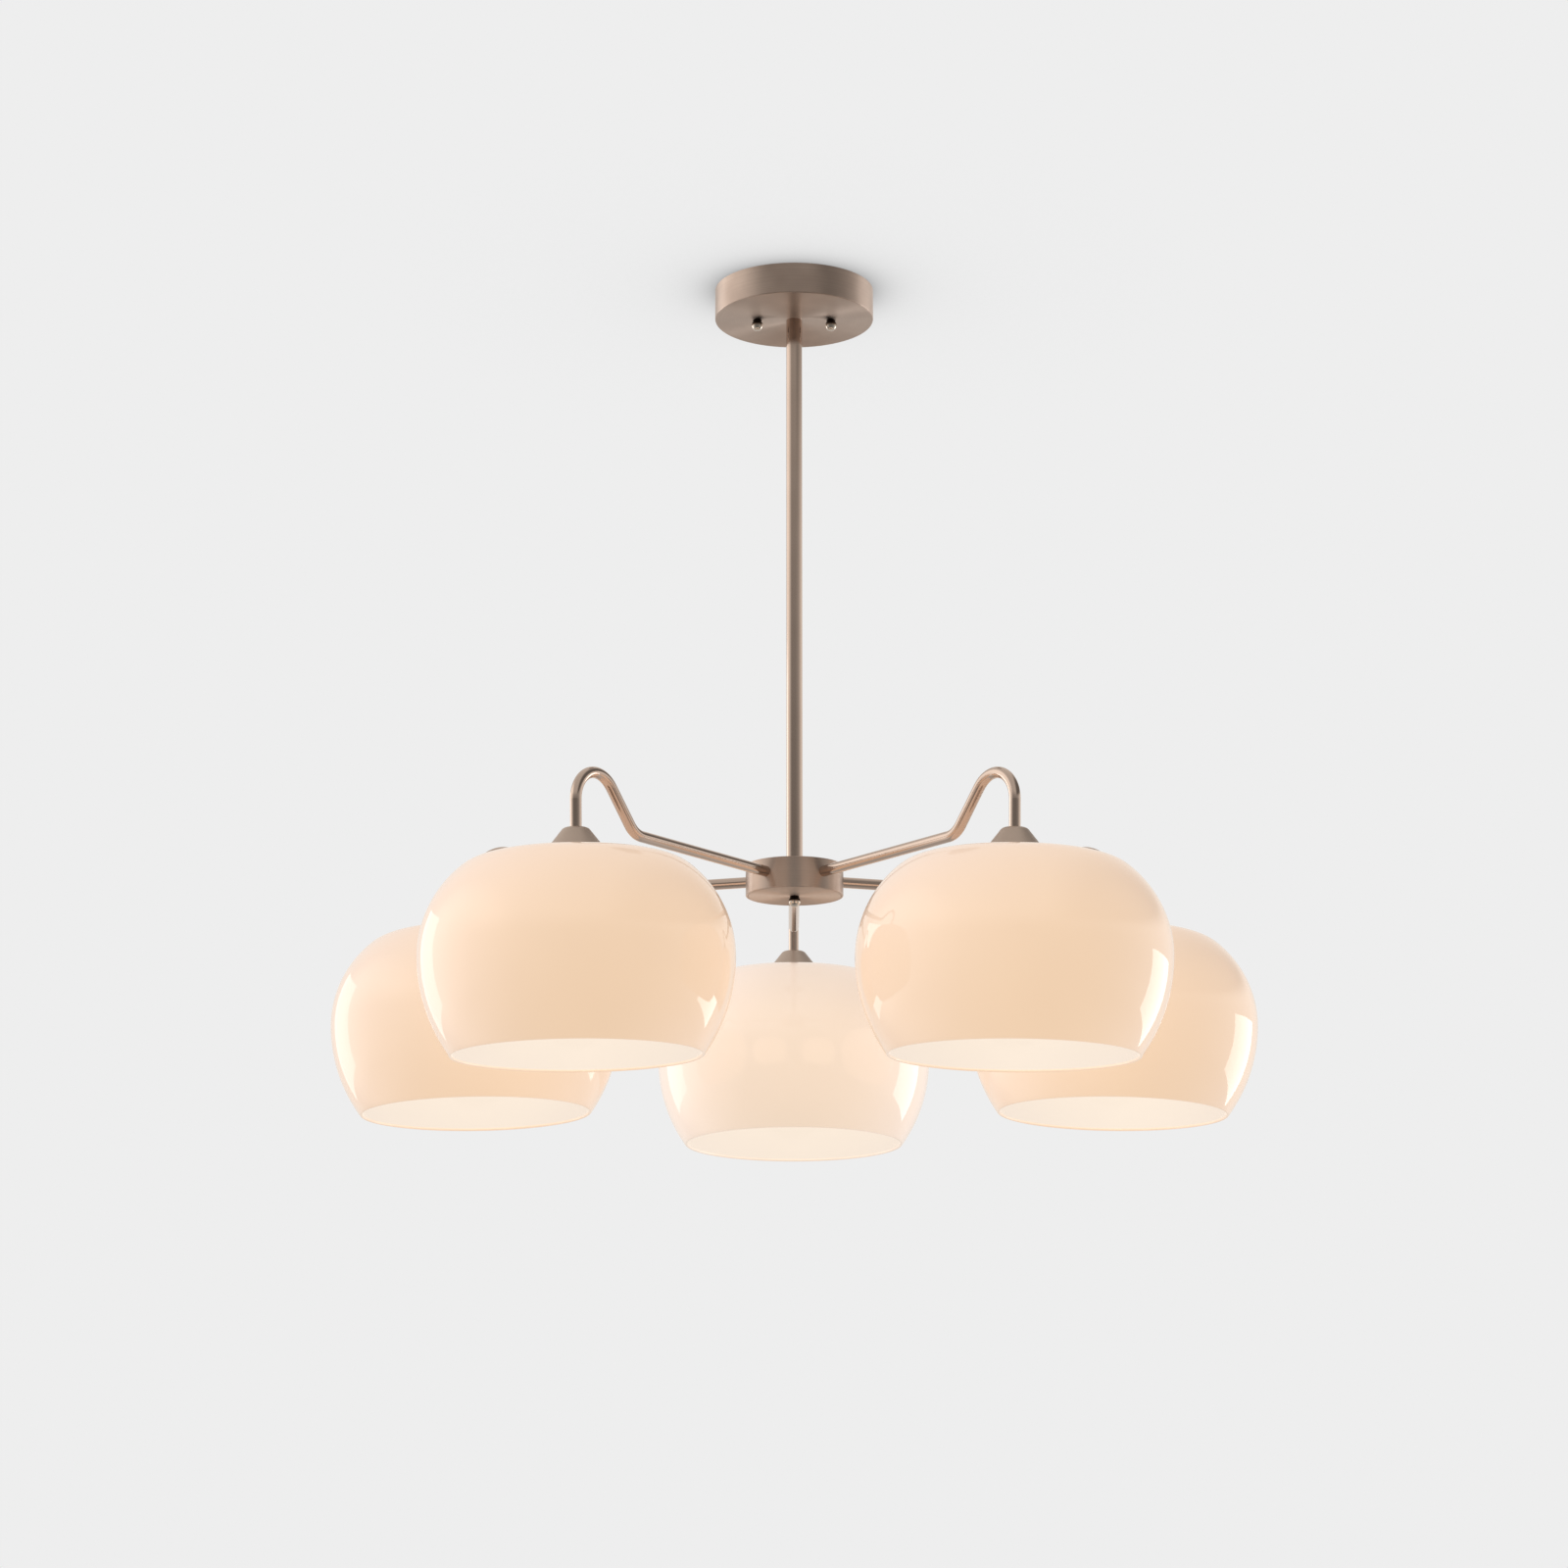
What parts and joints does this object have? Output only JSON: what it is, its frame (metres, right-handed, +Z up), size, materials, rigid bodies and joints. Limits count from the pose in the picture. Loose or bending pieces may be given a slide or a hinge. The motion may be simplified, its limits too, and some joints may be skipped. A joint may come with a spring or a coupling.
{
  "type": "multi arm chandelier",
  "caption": "Ceiling chandelier with a round canopy, a straight rod, a flat round hub and swan-neck arms that carry bell-mouthed opal glass shades, open downwards.",
  "frame": {"origin": "midpoint of the ceiling strap's two fixing holes, on the ceiling plane", "axes": "+Z up into the ceiling along the rod; +X along the ceiling strap and through the canopy's two cap nuts; +Y towards the arm that points straight back"},
  "size_m": [0.6916, 0.6683, 0.6217],
  "materials": {
    "satin_nickel": "satin brushed nickel plate",
    "polished_nickel": "polished nickel plate",
    "zinc_steel": "bright zinc plate",
    "brass": "bare brass",
    "white_nylon": "moulded nylon",
    "holder_plastic": "moulded white phenolic",
    "cable_sheath": "extruded PVC sheath",
    "opal_glass": "blown opal glass cased in clear glass",
    "bulb_cap_metal": "rolled screw cap",
    "bulb_glass": "frosted lamp glass"
  },
  "bodies": {
    "ceiling_plate": {"ceiling_strap": "zinc_steel", "canopy_studs": "zinc_steel", "stud_lock_nuts": "zinc_steel", "earth_screw": "brass", "terminal_block": "white_nylon", "terminal_screws": "brass"},
    "canopy": {"canopy": "satin_nickel", "canopy_cap_nuts": "polished_nickel"},
    "stem": {"rod": "satin_nickel", "top_sleeve": "zinc_steel", "top_washer": "zinc_steel", "top_nut": "zinc_steel", "hub_sleeve": "zinc_steel", "hub_nut": "zinc_steel", "rod_cable": "cable_sheath", "hub_body": "satin_nickel", "hub_bridge": "zinc_steel", "hub_stud": "zinc_steel", "arm_1": "satin_nickel", "arm_2": "satin_nickel", "arm_3": "satin_nickel", "arm_4": "satin_nickel", "arm_5": "satin_nickel", "arm_nuts": "zinc_steel", "arm_wires": "cable_sheath", "lamp_cap_1": "satin_nickel", "lamp_cap_2": "satin_nickel", "lamp_cap_3": "satin_nickel", "lamp_cap_4": "satin_nickel", "lamp_cap_5": "satin_nickel", "lamp_nuts": "zinc_steel", "lampholder_1": "holder_plastic", "lampholder_2": "holder_plastic", "lampholder_3": "holder_plastic", "lampholder_4": "holder_plastic", "lampholder_5": "holder_plastic", "holder_contacts": "brass"},
    "hub_cover": {"hub_cover": "satin_nickel", "hub_cap_nut": "polished_nickel"},
    "shade_1": {"shade_1": "opal_glass", "shade_ring_1": "holder_plastic"},
    "shade_2": {"shade_2": "opal_glass", "shade_ring_2": "holder_plastic"},
    "shade_3": {"shade_3": "opal_glass", "shade_ring_3": "holder_plastic"},
    "shade_4": {"shade_4": "opal_glass", "shade_ring_4": "holder_plastic"},
    "shade_5": {"shade_5": "opal_glass", "shade_ring_5": "holder_plastic"},
    "bulb_1": {"bulb_cap_1": "bulb_cap_metal", "bulb_glass_1": "bulb_glass"},
    "bulb_2": {"bulb_cap_2": "bulb_cap_metal", "bulb_glass_2": "bulb_glass"},
    "bulb_3": {"bulb_cap_3": "bulb_cap_metal", "bulb_glass_3": "bulb_glass"},
    "bulb_4": {"bulb_cap_4": "bulb_cap_metal", "bulb_glass_4": "bulb_glass"},
    "bulb_5": {"bulb_cap_5": "bulb_cap_metal", "bulb_glass_5": "bulb_glass"}
  },
  "joints": [
    {"name": "canopy_drop", "type": "slide", "parent": "ceiling_plate", "child": "canopy", "axis": [0, 0, -1], "range_m": [0, 0.04]},
    {"name": "rod_swivel", "type": "hinge", "parent": "canopy", "child": "stem", "pos_m": [0, 0, -0.0235], "axis": [0, 0, 1], "range_deg": [-170, 170]},
    {"name": "hub_cover_drop", "type": "slide", "parent": "stem", "child": "hub_cover", "axis": [0, 0, -1], "range_m": [0, 0.03]},
    {"name": "shade_drop_1", "type": "slide", "parent": "stem", "child": "shade_1", "axis": [0, -0.0279, -0.9996], "range_m": [0, 0.06]},
    {"name": "shade_drop_2", "type": "slide", "parent": "stem", "child": "shade_2", "axis": [0.0266, -0.0086, -0.9996], "range_m": [0, 0.06]},
    {"name": "shade_drop_3", "type": "slide", "parent": "stem", "child": "shade_3", "axis": [0.0164, 0.0226, -0.9996], "range_m": [0, 0.06]},
    {"name": "shade_drop_4", "type": "slide", "parent": "stem", "child": "shade_4", "axis": [-0.0164, 0.0226, -0.9996], "range_m": [0, 0.06]},
    {"name": "shade_drop_5", "type": "slide", "parent": "stem", "child": "shade_5", "axis": [-0.0266, -0.0086, -0.9996], "range_m": [0, 0.06]},
    {"name": "bulb_out_1", "type": "slide", "parent": "shade_1", "child": "bulb_1", "axis": [0, -0.0279, -0.9996], "range_m": [0, 0.14]},
    {"name": "bulb_out_2", "type": "slide", "parent": "shade_2", "child": "bulb_2", "axis": [0.0266, -0.0086, -0.9996], "range_m": [0, 0.14]},
    {"name": "bulb_out_3", "type": "slide", "parent": "shade_3", "child": "bulb_3", "axis": [0.0164, 0.0226, -0.9996], "range_m": [0, 0.14]},
    {"name": "bulb_out_4", "type": "slide", "parent": "shade_4", "child": "bulb_4", "axis": [-0.0164, 0.0226, -0.9996], "range_m": [0, 0.14]},
    {"name": "bulb_out_5", "type": "slide", "parent": "shade_5", "child": "bulb_5", "axis": [-0.0266, -0.0086, -0.9996], "range_m": [0, 0.14]}
  ]
}
